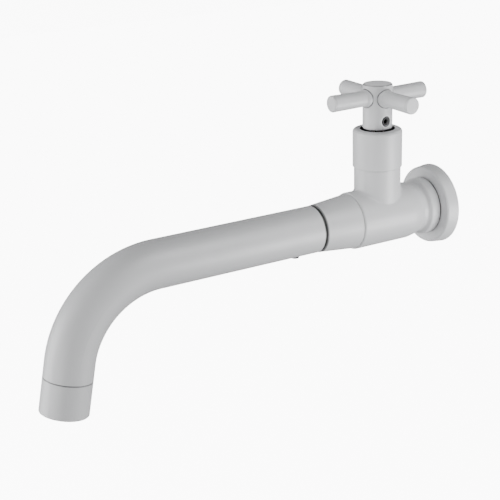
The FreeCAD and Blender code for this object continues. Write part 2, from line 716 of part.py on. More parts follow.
def handle_hub():
    """Round boss with a splined socket, four arm seats, a seat for the cap and a screw hole."""
    hub = valve_turned([
        (0, HUB_FLOOR),
        (HUB_RADIUS, HUB_FLOOR, HUB_FOOT_EDGE),
        (HUB_RADIUS, HUB_TOP, HUB_SHOULDER),
        (CAP_STUB_RADIUS + SEAT_CLEARANCE, HUB_TOP),
        (CAP_STUB_RADIUS + SEAT_CLEARANCE, HUB_TOP - CAP_STUB_DEPTH),
        (0, HUB_TOP - CAP_STUB_DEPTH),
    ])
    hub = hub.cut(valve_rod(SPINDLE_RADIUS + HUB_ENTRY_STEP, HUB_FLOOR, HUB_FLOOR + HUB_ENTRY_DEPTH))
    hub = hub.cut(splined_rod(SPINDLE_RADIUS + SEAT_CLEARANCE, HUB_FLOOR, SPLINE_TOP + SEAT_CLEARANCE))
    for angle in arm_angles():
        hub = hub.cut(along_arm(ARM_COLLAR_RADIUS + ARM_COLLAR_GAP, ARM_COLLAR_START, ARM_REACH, angle))
        hub = hub.cut(along_arm(ARM_TENON_RADIUS + SEAT_CLEARANCE, ARM_TENON_START, ARM_COLLAR_START, angle))
    height = HUB_FLOOR + HANDLE_SCREW_HEIGHT
    hub = hub.cut(rod(HANDLE_SCREW_RADIUS, on_valve(0, height), on_valve(HUB_RADIUS, height)))
    step = HANDLE_SCREW_MOUTH - HANDLE_SCREW_RADIUS
    depth = HUB_RADIUS - math.sqrt(HUB_RADIUS ** 2 - HANDLE_SCREW_MOUTH ** 2) + step
    start = on_valve(HUB_RADIUS - depth, height)
    return hub.cut(Part.makeCone(HANDLE_SCREW_RADIUS, HANDLE_SCREW_RADIUS + depth, depth, start, SIDEWAYS))


def handle_arm(angle):
    """Arm with a tenon and a collar in the hub, a flared root and a slightly wider round tip."""
    arm = turned([
        (0, ARM_TENON_START),
        (ARM_TENON_RADIUS, ARM_TENON_START),
        (ARM_TENON_RADIUS, ARM_COLLAR_START),
        (ARM_COLLAR_RADIUS, ARM_COLLAR_START),
        (ARM_COLLAR_RADIUS, ARM_COLLAR_END, FINE_EDGE),
        (ARM_ROOT_RADIUS, ARM_COLLAR_END + ARM_FLARE, ARM_FLARE_EDGE),
        (ARM_TIP_RADIUS, ARM_REACH, ARM_TIP_EDGE),
        (0, ARM_REACH),
    ], upright, UP)
    arm.rotate(ORIGIN, INWARD, QUARTER_TURN)
    arm.translate(on_valve(0, ARM_AXIS_HEIGHT))
    arm.rotate(on_valve(0, 0), UP, angle)
    return arm


def handle_cap():
    """Thin button on the hub's top, slightly domed, with a stub in the hub."""
    rim = on_valve(CAP_RADIUS, HUB_TOP + CAP_RIM)
    crown = on_valve(0, HUB_TOP + CAP_RIM + CAP_RISE)
    dome_radius = (CAP_RADIUS ** 2 + CAP_RISE ** 2) / (2 * CAP_RISE)
    half_angle = math.asin(CAP_RADIUS / dome_radius) / 2
    drop = dome_radius * (1 - math.cos(half_angle))
    middle = crown + FreeCAD.Vector(dome_radius * math.sin(half_angle), 0, -drop)
    corners = [
        crown,
        on_valve(0, HUB_TOP - CAP_STUB_DEPTH),
        on_valve(CAP_STUB_RADIUS, HUB_TOP - CAP_STUB_DEPTH),
        on_valve(CAP_STUB_RADIUS, HUB_TOP),
        on_valve(CAP_RADIUS, HUB_TOP),
        rim,
    ]
    edges = [Part.Arc(rim, middle, crown).toShape()]
    for start, end in zip(corners, corners[1:]):
        edges.append(Part.LineSegment(start, end).toShape())
    cap = Part.Face(Part.Wire(Part.__sortEdges__(edges))).revolve(on_valve(0, 0), UP, FULL_TURN)
    rims = []
    for edge in cap.Edges:
        box = edge.BoundBox
        if box.ZLength < TOLERANCE and abs(box.ZMax - rim.z) < TOLERANCE:
            rims.append(edge)
    return cap.makeFillet(CAP_EDGE, rims)


def grub_screw(radius, tip_radius, tip_length, length):
    """Headless screw up the Z axis, its tip at the origin and a hexagon socket in its other end."""
    screw = turned([
        (0, 0),
        (tip_radius, 0),
        (tip_radius, tip_length),
        (radius, tip_length),
        (radius, length, SCREW_EDGE),
        (0, length),
    ], upright, UP)
    return screw.cut(regular_prism(SCREW_KEY_FLATS, 6, length - SCREW_KEY_DEPTH, length, 30))


def handle_set_screw():
    """Grub screw that grips the spindle's splines."""
    tip = SPINDLE_RADIUS + SEAT_CLEARANCE
    length = HUB_RADIUS - HANDLE_SCREW_SUNK - tip
    tip_radius = HANDLE_SCREW_RADIUS - HANDLE_SCREW_TIP_STEP
    screw = grub_screw(HANDLE_SCREW_RADIUS - SEAT_CLEARANCE, tip_radius, HANDLE_SCREW_TIP, length)
    screw.rotate(ORIGIN, INWARD, QUARTER_TURN)
    screw.translate(on_valve(tip, HUB_FLOOR + HANDLE_SCREW_HEIGHT))
    return screw


def spigot_ring_stations():
    """Middle stations of the two seal rings, past the screw's groove."""
    first = SCREW_STATION + SPIGOT_RING_PITCH
    return [first, first + SPIGOT_RING_PITCH]


def groove_corners(radius, floor, middle, half):
    """Corners of one groove in a turned outline."""
    return [(radius, middle - half), (floor, middle - half), (floor, middle + half), (radius, middle + half)]


def outlet_connector():
    """Taper between the body and the spout, with a thread behind it and the spout's spigot in front."""
    thread_end = MOUTH_START + CONNECTOR_SEAL_LENGTH
    thread = MOUTH_RADIUS - SEAT_CLEARANCE
    ring_floor = SPIGOT_RADIUS - SEAT_CLEARANCE - 2 * SPIGOT_RING_SECTION
    corners = [
        (SPIGOT_BORE, thread_end),
        (thread, thread_end),
        (thread, BODY_END),
        (BODY_RADIUS - CONE_BASE_STEP, BODY_END, FINE_EDGE),
        (TUBE_RADIUS + CONE_END_STEP, CONE_END, FINE_EDGE),
        (SPIGOT_RADIUS, CONE_END),
    ]
    corners += groove_corners(SPIGOT_RADIUS, GROOVE_FLOOR, SCREW_STATION, SPOUT_SCREW_TIP_RADIUS + FREE_GAP)
    for station in spigot_ring_stations():
        corners += groove_corners(SPIGOT_RADIUS, ring_floor, station, SPIGOT_RING_SECTION + SEAT_CLEARANCE)
    corners += [(SPIGOT_RADIUS, SPIGOT_END, SPIGOT_EDGE), (SPIGOT_BORE, SPIGOT_END)]
    return barrel_turned(corners)


def connector_seal():
    """Ring between the connector's thread and the body's shoulder."""
    outer = MOUTH_RADIUS - SEAT_CLEARANCE
    return barrel_turned([
        (OUTLET_PASSAGE_RADIUS, MOUTH_START),
        (outer, MOUTH_START),
        (outer, MOUTH_START + CONNECTOR_SEAL_LENGTH),
        (OUTLET_PASSAGE_RADIUS, MOUTH_START + CONNECTOR_SEAL_LENGTH),
    ])


def spigot_o_rings():
    """The two seal rings in the spigot's grooves."""
    inner = SPIGOT_RADIUS - SEAT_CLEARANCE - 2 * SPIGOT_RING_SECTION
    rings = []
    for station in spigot_ring_stations():
        rings.append(seal_ring(inner, SPIGOT_RING_SECTION, station, barrel_turned))
    return Part.makeCompound(rings)


def slip_ring():
    """Black ring on which the spout's end turns."""
    inner = SPIGOT_RADIUS + SEAT_CLEARANCE
    outer = TUBE_RADIUS - SLIP_RING_INSET
    return barrel_turned([
        (inner, CONE_END),
        (outer, CONE_END),
        (outer, SPOUT_START - TURN_GAP),
        (inner, SPOUT_START - TURN_GAP),
    ])


def bent_rod(radius):
    """Solid along the whole of the spout's line: straight, bend and straight tail."""
    angle = math.radians(BEND_ANGLE)
    centre = on_barrel(-BEND_RADIUS, BEND_START)
    section = Part.Face(Part.Wire(Part.makeCircle(radius, on_barrel(0, BEND_START), OUTWARD)))
    bend = section.revolve(centre, SIDEWAYS, BEND_ANGLE)
    bend_end = centre + FreeCAD.Vector(0, -math.sin(angle), math.cos(angle)) * BEND_RADIUS
    direction = FreeCAD.Vector(0, -math.cos(angle), -math.sin(angle))
    straight = barrel_rod(radius, SPOUT_START, BEND_START)
    tail = rod(radius, bend_end, bend_end + direction * TAIL_LENGTH)
    return straight.fuse([bend, tail])


def spout_screw_hole():
    """Threaded hole up through the underside of the spout's inlet end."""
    below = on_barrel(-TUBE_RADIUS - TUBE_WALL, SCREW_STATION)
    return rod(SPOUT_SCREW_RADIUS, below, on_barrel(0, SCREW_STATION))


def spout_tube():
    """Bent tube with slightly eased ends."""
    tube = bent_rod(TUBE_RADIUS).cut(bent_rod(TUBE_BORE)).removeSplitter()
    rims = []
    for edge in tube.Edges:
        faces = tube.ancestorsOfType(edge, Part.Face)
        if isinstance(edge.Curve, Part.Circle) and abs(edge.Curve.Radius - TUBE_RADIUS) < TOLERANCE:
            if any(isinstance(face.Surface, Part.Plane) for face in faces):
                rims.append(edge)
    tube = tube.makeFillet(TUBE_EDGE, rims)
    return tube.cut(spout_screw_hole())


def spout_socket():
    """Bush fixed in the tube's inlet end, which turns on the spigot."""
    socket = barrel_turned([
        (SOCKET_BORE, SPOUT_START),
        (SOCKET_RADIUS, SPOUT_START),
        (SOCKET_RADIUS, SPOUT_START + SOCKET_LENGTH),
        (SOCKET_BORE, SPOUT_START + SOCKET_LENGTH),
    ])
    return socket.cut(spout_screw_hole())


def spout_set_screw():
    """Grub screw whose tip runs in the spigot's groove and holds the spout on."""
    tip = GROOVE_FLOOR + SCREW_GROOVE_GAP
    length = TUBE_RADIUS + SPOUT_SCREW_PROUD - tip
    tip_length = SPIGOT_RADIUS + RUNNING_CLEARANCE - tip
    screw = grub_screw(SPOUT_SCREW_RADIUS - SEAT_CLEARANCE, SPOUT_SCREW_TIP_RADIUS, tip_length, length)
    screw.rotate(ORIGIN, SIDEWAYS, HALF_TURN)
    screw.translate(on_barrel(-tip, SCREW_STATION))
    return screw


def outlet_insert():
    """Threaded ring fixed in the tube's outlet end."""
    return outlet_turned([
        (INSERT_BORE, TAIL_LENGTH - INSERT_GRIP),
        (SOCKET_RADIUS, TAIL_LENGTH - INSERT_GRIP),
        (SOCKET_RADIUS, TAIL_LENGTH),
        (INSERT_THREAD_RADIUS, TAIL_LENGTH),
        (INSERT_THREAD_RADIUS, INSERT_END),
        (INSERT_BORE, INSERT_END),
    ])


def aerator_collar():
    """Outlet collar as wide as the tube, with a lip that holds the aerator."""
    return outlet_turned([
        (COLLAR_BORE, TAIL_LENGTH),
        (TUBE_RADIUS, TAIL_LENGTH, TUBE_EDGE),
        (TUBE_RADIUS, COLLAR_END, COLLAR_EDGE),
        (COLLAR_LIP_RADIUS, COLLAR_END, FINE_EDGE),
        (COLLAR_LIP_RADIUS, AERATOR_END),
        (COLLAR_BORE, AERATOR_END),
    ])


def aerator_washer():
    """Rubber ring between the insert and the aerator."""
    outer = COLLAR_BORE - SEAT_CLEARANCE
    return outlet_turned([
        (INSERT_BORE, INSERT_END),
        (outer, INSERT_END),
        (outer, AERATOR_START),
        (INSERT_BORE, AERATOR_START),
    ])


def aerator_cartridge():
    """Plastic cup with a rim and a deck of small holes."""
    rim = COLLAR_BORE - SEAT_CLEARANCE
    bore = AERATOR_RADIUS - AERATOR_WALL
    cup = turned([
        (0, AERATOR_START),
        (rim, AERATOR_START),
        (rim, AERATOR_START + AERATOR_RIM_LENGTH),
        (AERATOR_RADIUS, AERATOR_START + AERATOR_RIM_LENGTH),
        (AERATOR_RADIUS, AERATOR_END),
        (bore, AERATOR_END),
        (bore, AERATOR_START + AERATOR_DECK),
        (0, AERATOR_START + AERATOR_DECK),
    ], upright, UP)
    for index in range(AERATOR_HOLES):
        angle = 2 * math.pi * index / AERATOR_HOLES
        reach = bore - 2 * AERATOR_HOLE_RADIUS
        start = FreeCAD.Vector(reach * math.cos(angle), reach * math.sin(angle), AERATOR_START)
        cup = cup.cut(Part.makeCylinder(AERATOR_HOLE_RADIUS, AERATOR_DECK, start))
    return placed_at_outlet(cup)


def screen_cells(reach):
    """Centres of the honeycomb cells that lie whole within a radius."""
    rows = int(reach / (SCREEN_CELL * math.sin(math.pi / 3))) + 1
    centres = []
    for row in range(-rows, rows + 1):
        for column in range(-2 * rows, 2 * rows + 1):
            across = SCREEN_CELL * (column + (row % 2) / 2)
            along = SCREEN_CELL * math.sin(math.pi / 3) * row
            if math.hypot(across, along) + SCREEN_CELL / math.sqrt(3) < reach:
                centres.append(FreeCAD.Vector(across, along, 0))
    return centres


def aerator_screen():
    """Honeycomb disc under the aerator, inside the collar's lip."""
    radius = COLLAR_LIP_RADIUS - 2 * SEAT_CLEARANCE
    end = AERATOR_END + SCREEN_THICKNESS
    disc = Part.makeCylinder(radius, SCREEN_THICKNESS, FreeCAD.Vector(0, 0, AERATOR_END))
    cells = []
    for centre in screen_cells(radius - SCREEN_BAR):
        cell = regular_prism(SCREEN_CELL - SCREEN_BAR, 6, AERATOR_END, end, 30)
        cell.translate(centre)
        cells.append(cell)
    return placed_at_outlet(disc.cut(cells))


def pieces():
    """Every piece by its node's name."""
    made = {
        "wall_flange": wall_flange(),
        "flange_gasket": flange_gasket(),
        "inlet_nipple": inlet_nipple(),
        "body_casting": body_casting(),
        "cartridge_housing": cartridge_housing(),
        "cartridge_o_ring": cartridge_o_ring(),
        "seat_seal": seat_seal(),
        "fixed_disc": fixed_disc(),
        "moving_disc": moving_disc(),
        "spindle": spindle(),
        "spindle_washer": spindle_washer(),
        "spindle_o_rings": spindle_o_rings(),
        "circlip": circlip(),
        "bonnet_sleeve": bonnet_sleeve(),
        "handle_hub": handle_hub(),
        "handle_cap": handle_cap(),
        "handle_set_screw": handle_set_screw(),
        "outlet_connector": outlet_connector(),
        "connector_seal": connector_seal(),
        "spigot_o_rings": spigot_o_rings(),
        "slip_ring": slip_ring(),
        "spout_tube": spout_tube(),
        "spout_socket": spout_socket(),
        "spout_set_screw": spout_set_screw(),
        "outlet_insert": outlet_insert(),
        "aerator_collar": aerator_collar(),
        "aerator_washer": aerator_washer(),
        "aerator_cartridge": aerator_cartridge(),
        "aerator_screen": aerator_screen(),
    }
    for index, angle in enumerate(arm_angles()):
        made["handle_arm_%d" % (index + 1)] = handle_arm(angle)
    return made


os.makedirs("parts", exist_ok=True)
for name, shape in pieces().items():
    shape.exportStep("parts/" + name + ".step")
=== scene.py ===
import json
import math

import bmesh
import bpy
from mathutils import Matrix, Vector


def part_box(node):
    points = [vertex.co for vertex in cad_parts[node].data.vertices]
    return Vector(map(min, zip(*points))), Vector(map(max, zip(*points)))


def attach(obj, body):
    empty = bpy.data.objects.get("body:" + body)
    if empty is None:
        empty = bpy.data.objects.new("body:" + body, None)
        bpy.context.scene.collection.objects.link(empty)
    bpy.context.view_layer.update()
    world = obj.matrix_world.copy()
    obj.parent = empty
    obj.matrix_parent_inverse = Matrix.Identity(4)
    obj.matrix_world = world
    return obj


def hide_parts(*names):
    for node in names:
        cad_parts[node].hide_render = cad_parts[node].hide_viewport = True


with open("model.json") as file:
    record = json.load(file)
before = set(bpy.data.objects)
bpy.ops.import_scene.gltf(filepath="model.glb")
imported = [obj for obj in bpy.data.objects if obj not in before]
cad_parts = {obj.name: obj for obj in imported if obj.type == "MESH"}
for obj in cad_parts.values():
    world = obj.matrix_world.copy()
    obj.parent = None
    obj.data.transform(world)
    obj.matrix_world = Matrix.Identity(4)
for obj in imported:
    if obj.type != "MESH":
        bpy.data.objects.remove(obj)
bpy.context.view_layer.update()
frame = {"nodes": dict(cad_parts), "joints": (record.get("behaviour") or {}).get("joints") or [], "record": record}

nodes = frame["nodes"]

# Camera, found from the photograph's outlines, in metres and degrees
CAMERA_AZIMUTH = 30.80
CAMERA_ELEVATION = 19.06
CAMERA_ROLL = -1.69
CAMERA_DISTANCE = 0.7337
CAMERA_TARGET = Vector((0.0, -0.13402, -0.0042))
CAMERA_LENS = 92.15
SENSOR_WIDTH = 36.0
CLIP_START = 0.01
CLIP_END = 50

# Floor, as far below the tap as the floor of a room, in metres
FLOOR_HEIGHT = -0.9
FLOOR_SIZE = 12.0
FLOOR_GREY = 0.95
FLOOR_ROUGHNESS = 0.9

# Light. A panel has a name, azimuth, elevation, distance, width and power. Azimuth 90 is the wall's side
LIGHT_CENTRE = Vector((0.0, -0.13, 0.0))
WORLD_LIGHT = 0.3
BACKGROUND_LIGHT = 10.0
PANELS = [
    ("left_panel", 240, 0, 2.1, 1.4, 57),
    ("front_upper_panel", 260, 15, 2.1, 1.4, 14),
    ("front_low_panel", 290, -15, 2.1, 1.4, 30.5),
    ("right_low_panel", 40, -15, 0.45, 0.22, 2.8),
    ("right_upper_panel", 27, 45, 0.6, 0.3, 2.5),
]

# Sizes at joints and edges, where bands of painted shade and painted light go, that the boxes of the imported
# pieces don't tell, in metres
COLLAR_SEAM = 0.0003
SLEEVE_MOUTH_RADIUS = 0.0105
SCREW_MOUTH_RADIUS = 0.00305
ARM_TIP_EDGE = 0.0009
CAP_RIM = 0.0003

# Bands of painted shade and painted light at joints and edges, given in millimetres, and the softness of their
# sides in metres
MILLIMETRE = 0.001
BAND_SOFTNESS = 0.0001

# Painted shade in the crevices of the grey coat, with a lightness of 1 for its own colour
HANDLE_CREVICE_SHADE = 0.1
OTHER_CREVICE_SHADE = 0.6
CREVICE_SAMPLES = 12

# Range that most of the noise lies in
NOISE_LOW = 0.3
NOISE_HIGH = 0.7

# Sockets of a colour Mix node, by number because several have one name
MIX_FACTOR = 0
MIX_FIRST = 6
MIX_SECOND = 7
MIX_RESULT = 2

# Inlet nipple with a half-inch pipe thread, in metres
THREAD_PITCH = 0.001814
THREAD_CREST_RADIUS = 0.010475
THREAD_ROOT_RADIUS = 0.009313
THREAD_ROUNDNESS = 0.8
THREAD_STEP = 0.00015
NIPPLE_SHANK_RADIUS = 0.0096
NIPPLE_SHANK_END = 0.0
NIPPLE_END = 0.011
NIPPLE_BORE_RADIUS = 0.0059
NIPPLE_KEY_FLATS = 0.012
NIPPLE_KEY_DEPTH = 0.008
NIPPLE_SIDES = 96
NIPPLE_TURNS = [2 * math.pi * index / NIPPLE_SIDES for index in range(NIPPLE_SIDES)]
TOLERANCE = 1e-5


def add_camera():
    """Camera at the photograph's viewing angle."""
    azimuth = math.radians(CAMERA_AZIMUTH)
    elevation = math.radians(CAMERA_ELEVATION)
    back = Vector((math.cos(azimuth) * math.cos(elevation), -math.sin(azimuth) * math.cos(elevation),
                   math.sin(elevation)))
    level = Vector((math.sin(azimuth), math.cos(azimuth), 0))
    upright = back.cross(level)
    roll = math.radians(CAMERA_ROLL)
    right = level * math.cos(roll) + upright * math.sin(roll)
    up = upright * math.cos(roll) - level * math.sin(roll)
    data = bpy.data.cameras.new("camera")
    data.lens = CAMERA_LENS
    data.sensor_width = SENSOR_WIDTH
    data.clip_start = CLIP_START
    data.clip_end = CLIP_END
    camera = bpy.data.objects.new("camera", data)
    place = Matrix((right, up, back)).transposed().to_4x4()
    place.translation = CAMERA_TARGET + back * CAMERA_DISTANCE
    camera.matrix_world = place
    bpy.context.scene.collection.objects.link(camera)
    bpy.context.scene.camera = camera


def add_panel(name, azimuth, elevation, distance, width, power):
    """Square soft light that looks at the tap from a direction, in degrees."""
    turn = math.radians(azimuth)
    rise = math.radians(elevation)
    away = Vector((math.cos(turn) * math.cos(rise), math.sin(turn) * math.cos(rise), math.sin(rise)))
    data = bpy.data.lights.new(name, "AREA")
    data.shape = "SQUARE"
    data.size = width
    data.energy = power
    light = bpy.data.objects.new(name, data)
    light.location = LIGHT_CENTRE + away * distance
    light.rotation_euler = away.to_track_quat("Z", "Y").to_euler()
    light.visible_camera = False
    bpy.context.scene.collection.objects.link(light)


def add_world():
    """Even white surroundings, brighter where the camera sees them than as light on the tap."""
    world = bpy.data.worlds.new("studio")
    world.use_nodes = True
    tree = world.node_tree
    sky = tree.nodes["Background"]
    sky.inputs["Color"].default_value = (1, 1, 1, 1)
    rays = tree.nodes.new("ShaderNodeLightPath")
    amount = tree.nodes.new("ShaderNodeMapRange")
    amount.inputs["To Min"].default_value = WORLD_LIGHT
    amount.inputs["To Max"].default_value = BACKGROUND_LIGHT
    tree.links.new(rays.outputs["Is Camera Ray"], amount.inputs["Value"])
    tree.links.new(amount.outputs["Result"], sky.inputs["Strength"])
    bpy.context.scene.world = world


def add_floor():
    """Plain pale floor that neither lights nor shades the tap."""
    mesh = bpy.data.meshes.new("floor")
    half = FLOOR_SIZE / 2
    corners = [(x, y, FLOOR_HEIGHT) for x, y in ((-half, -half), (half, -half), (half, half), (-half, half))]
    mesh.from_pydata(corners, [], [(0, 1, 2, 3)])
    floor = bpy.data.objects.new("floor", mesh)
    bpy.context.scene.collection.objects.link(floor)
    material = bpy.data.materials.new("pale_floor")
    material.use_nodes = True
    shader = material.node_tree.nodes["Principled BSDF"]
    shader.inputs["Base Color"].default_value = (FLOOR_GREY, FLOOR_GREY, FLOOR_GREY, 1)
    shader.inputs["Roughness"].default_value = FLOOR_ROUGHNESS
    shader.inputs["Emission Color"].default_value = (1, 1, 1, 1)
    shader.inputs["Emission Strength"].default_value = BACKGROUND_LIGHT
    mesh.materials.append(material)
    floor.visible_diffuse = False
    floor.visible_glossy = False
    floor.visible_shadow = False


class Finish:
    """A procedural material with a few shared kinds of detail, painted shade and painted light among them."""

    def __init__(self, name, colour, roughness, metallic=0.0):
        self.material = bpy.data.materials.new(name)
        self.material.use_nodes = True
        self.tree = self.material.node_tree
        self.shader = self.tree.nodes["Principled BSDF"]
        self.shader.inputs["Base Color"].default_value = (*colour, 1)
        self.shader.inputs["Roughness"].default_value = roughness
        self.shader.inputs["Metallic"].default_value = metallic
        self.colour = colour
        self.roughness = roughness
        self.place = self.tree.nodes.new("ShaderNodeTexCoord").outputs["Object"]
        self.relief = None
        self.paint = None

    def noise(self, scale, detail, stretch=(1, 1, 1)):
        """Noise by the place on the object, scale in cells per metre."""
        mapping = self.tree.nodes.new("ShaderNodeMapping")
        mapping.inputs["Scale"].default_value = stretch
        self.tree.links.new(self.place, mapping.inputs["Vector"])
        noise = self.tree.nodes.new("ShaderNodeTexNoise")
        noise.inputs["Scale"].default_value = scale
        noise.inputs["Detail"].default_value = detail
        self.tree.links.new(mapping.outputs["Vector"], noise.inputs["Vector"])
        return noise.outputs["Fac"]

    def ranged(self, value, low, high, from_low=NOISE_LOW, from_high=NOISE_HIGH):
        """Value brought from one range into another."""
        node = self.tree.nodes.new("ShaderNodeMapRange")
        node.inputs["From Min"].default_value = from_low
        node.inputs["From Max"].default_value = from_high
        node.inputs["To Min"].default_value = low
        node.inputs["To Max"].default_value = high
        self.tree.links.new(value, node.inputs["Value"])
        return node.outputs["Result"]

    def bump(self, value, depth, strength):
        """Surface relief of a depth in metres, added to what is there."""
        node = self.tree.nodes.new("ShaderNodeBump")
        node.inputs["Distance"].default_value = depth
        node.inputs["Strength"].default_value = strength
        self.tree.links.new(value, node.inputs["Height"])
        if self.relief is not None:
            self.tree.links.new(self.relief, node.inputs["Normal"])
        self.relief = node.outputs["Normal"]
        self.tree.links.new(self.relief, self.shader.inputs["Normal"])

    def vary_roughness(self, value, amount):
        """Roughness that differs a little from place to place."""
        varied = self.ranged(value, self.roughness - amount, self.roughness + amount)
        self.tree.links.new(varied, self.shader.inputs["Roughness"])

    def vary_colour(self, value, amount):
        """Colour a little darker and lighter from place to place."""
        mix = self.tree.nodes.new("ShaderNodeMix")
        mix.data_type = "RGBA"
        for socket, factor in ((MIX_FIRST, 1 - amount), (MIX_SECOND, 1 + amount)):
            mix.inputs[socket].default_value = (*[channel * factor for channel in self.colour], 1)
        self.tree.links.new(self.ranged(value, 0, 1), mix.inputs[MIX_FACTOR])
        self.use_paint(mix.outputs[MIX_RESULT])

    def use_paint(self, colour):
        """Makes a socket's colour the surface's colour so far."""
        self.paint = colour
        self.tree.links.new(colour, self.shader.inputs["Base Color"])

    def scale_paint(self, factor):
        """Scales the surface's colour so far by a socket's value."""
        scale = self.tree.nodes.new("ShaderNodeVectorMath")
        scale.operation = "SCALE"
        self.tree.links.new(self.paint, scale.inputs[0])
        self.tree.links.new(factor, scale.inputs["Scale"])
        self.use_paint(scale.outputs["Vector"])

    def vector_math(self, operation, first, second=None):
        """Outputs of a vector operation on a socket and, where it takes two, a constant."""
        node = self.tree.nodes.new("ShaderNodeVectorMath")
        node.operation = operation
        self.tree.links.new(first, node.inputs[0])
        if second is not None:
            node.inputs[1].default_value = second
        return node.outputs

    def distance(self, direction, centre):
        """Distance in metres along a direction, from the axis through a centre, or from the centre itself."""
        if centre is None:
            return self.vector_math("DOT_PRODUCT", self.place, direction)["Value"]
        offset = self.vector_math("SUBTRACT", self.place, centre)["Vector"]
        if direction is not None:
            offset = self.vector_math("CROSS_PRODUCT", offset, direction)["Vector"]
        return self.vector_math("LENGTH", offset)["Value"]

    def paint_shading_band(self, direction, centre, low, high, lightness):
        """Painted shade, with a lightness below 1, and painted light, above 1, between two distances, as at the
        chamfered edge of a joint.
        """
        far = self.distance(direction, centre)
        rise = self.ranged(far, 0, 1, low - BAND_SOFTNESS, low + BAND_SOFTNESS)
        fall = self.ranged(far, 1, 0, high - BAND_SOFTNESS, high + BAND_SOFTNESS)
        both = self.tree.nodes.new("ShaderNodeMath")
        both.operation = "MULTIPLY"
        self.tree.links.new(rise, both.inputs[0])
        self.tree.links.new(fall, both.inputs[1])
        self.scale_paint(self.ranged(both.outputs["Value"], 1, lightness, 0, 1))

    def paint_crevice_shade(self, reach, lightness, open_at=0.9, shut_at=0.35):
        """Painted shade: colour darker where other surfaces stand close around, within a reach in metres."""
        room = self.tree.nodes.new("ShaderNodeAmbientOcclusion")
        room.samples = CREVICE_SAMPLES
        room.inputs["Distance"].default_value = reach
        self.scale_paint(self.ranged(room.outputs["AO"], lightness, 1, shut_at, open_at))


def grey_finish(name="grey_coat", shade_and_light_bands=(), crevice_shade=OTHER_CREVICE_SHADE):
    """Fine matt light grey coating with the faint texture of powder paint, with painted shade in its crevices and
    bands of painted shade and painted light at some joints and edges.
    """
    finish = Finish(name, colour=(0.47, 0.475, 0.485), roughness=0.42)
    finish.vary_colour(finish.noise(scale=60, detail=3), amount=0.015)
    # painted shade in the coat's crevices
    finish.paint_crevice_shade(reach=0.0013, lightness=crevice_shade, open_at=0.88, shut_at=0.3)
    # bands of painted shade and painted light
    for band in shade_and_light_bands:
        finish.paint_shading_band(*band)
    finish.vary_roughness(finish.noise(scale=900, detail=2), amount=0.05)
    finish.bump(finish.noise(scale=2600, detail=2), depth=0.00002, strength=0.35)
    finish.bump(finish.noise(scale=420, detail=1), depth=0.00003, strength=0.12)
    return finish.material


def turned_brass(name="turned_brass", colour=(0.62, 0.45, 0.2), reach=0.002, **crevice_shade):
    """Machined brass with fine tool marks and painted shade, almost black, in its crevices."""
    finish = Finish(name, colour, roughness=0.3, metallic=1.0)
    finish.vary_colour(finish.noise(scale=150, detail=4), amount=0.1)
    finish.paint_crevice_shade(reach, lightness=0.02, **crevice_shade)
    finish.vary_roughness(finish.noise(scale=500, detail=3), amount=0.1)
    finish.bump(finish.noise(scale=900, detail=2, stretch=(1, 6, 1)), depth=0.00004, strength=0.3)
    return finish.material


def painted_shade_brass():
    """Brass of the headwork, deep in the sleeve: a darker copy with painted shade that reaches far, for the shade
    of the sleeve.
    """
    return turned_brass("painted_shade_brass", colour=(0.42, 0.38, 0.3), reach=0.012, open_at=1.0, shut_at=0.4)


def dull_brass():
    """Brass of the spindle, which shows a little under the hub: a darker, greyer copy of the brass, as painted
    shade.
    """
    return turned_brass("dull_brass", colour=(0.44, 0.42, 0.38))


def black_rubber():
    """Matt rubber of seals and gaskets."""
    finish = Finish("black_rubber", colour=(0.014, 0.014, 0.015), roughness=0.7)
    finish.vary_colour(finish.noise(scale=400, detail=3), amount=0.2)
    finish.bump(finish.noise(scale=1800, detail=3), depth=0.00003, strength=0.4)
    return finish.material


def black_plastic():
    """Smooth moulded plastic of the ring between taper and spout."""
    finish = Finish("black_plastic", colour=(0.03, 0.03, 0.031), roughness=0.45)
    finish.vary_roughness(finish.noise(scale=300, detail=2), amount=0.1)
    finish.bump(finish.noise(scale=1500, detail=2), depth=0.00002, strength=0.3)
    return finish.material


def white_plastic():
    """Off-white moulded plastic of the thrust washer and the aerator."""
    finish = Finish("white_plastic", colour=(0.72, 0.72, 0.7), roughness=0.4)
    finish.vary_colour(finish.noise(scale=200, detail=2), amount=0.03)
    finish.bump(finish.noise(scale=1200, detail=2), depth=0.00002, strength=0.3)
    return finish.material


def stainless():
    """Bright steel with fine grinding marks."""
    finish = Finish("stainless", colour=(0.62, 0.62, 0.61), roughness=0.28, metallic=1.0)
    finish.vary_roughness(finish.noise(scale=700, detail=3), amount=0.1)
    finish.bump(finish.noise(scale=1500, detail=2, stretch=(1, 5, 1)), depth=0.00002, strength=0.3)
    return finish.material


def black_steel():
    """Blackened steel of the grub screws, with painted shade that makes it blacker in their sockets."""
    finish = Finish("black_steel", colour=(0.03, 0.03, 0.031), roughness=0.5)
    finish.shader.inputs["Specular IOR Level"].default_value = 0.12
    finish.vary_colour(finish.noise(scale=500, detail=3), amount=0.15)
    finish.paint_crevice_shade(reach=0.0012, lightness=0.0, open_at=0.95, shut_at=0.6)
    finish.vary_roughness(finish.noise(scale=900, detail=3), amount=0.12)
    finish.bump(finish.noise(scale=2000, detail=2), depth=0.00002, strength=0.4)
    return finish.material


def ceramic():
    """Lapped ceramic of the valve's discs."""
    finish = Finish("lapped_ceramic", colour=(0.84, 0.82, 0.77), roughness=0.2)
    finish.vary_colour(finish.noise(scale=300, detail=3), amount=0.03)
    finish.bump(finish.noise(scale=1600, detail=2), depth=0.00001, strength=0.2)
    return finish.material


def named(rows, name):
    """The joint or mount of that name."""
    return next(row for row in rows if row["name"] == name)


def across(direction, edge, before, after, lightness, centre=None):
    """Band of painted shade and painted light from some millimetres before an edge to some after it. Its lightness
    is 1 for the coat's own, below for shade, above for light.
    """
    return direction, centre, edge - before * MILLIMETRE, edge + after * MILLIMETRE, lightness


def out_to(direction, edge, lightness, centre):
    """Band of painted shade and painted light from an axis out to an edge. Its lightness is 1 for the coat's own,
    below for shade, above for light.
    """
    return direction, centre, -MILLIMETRE, edge, lightness


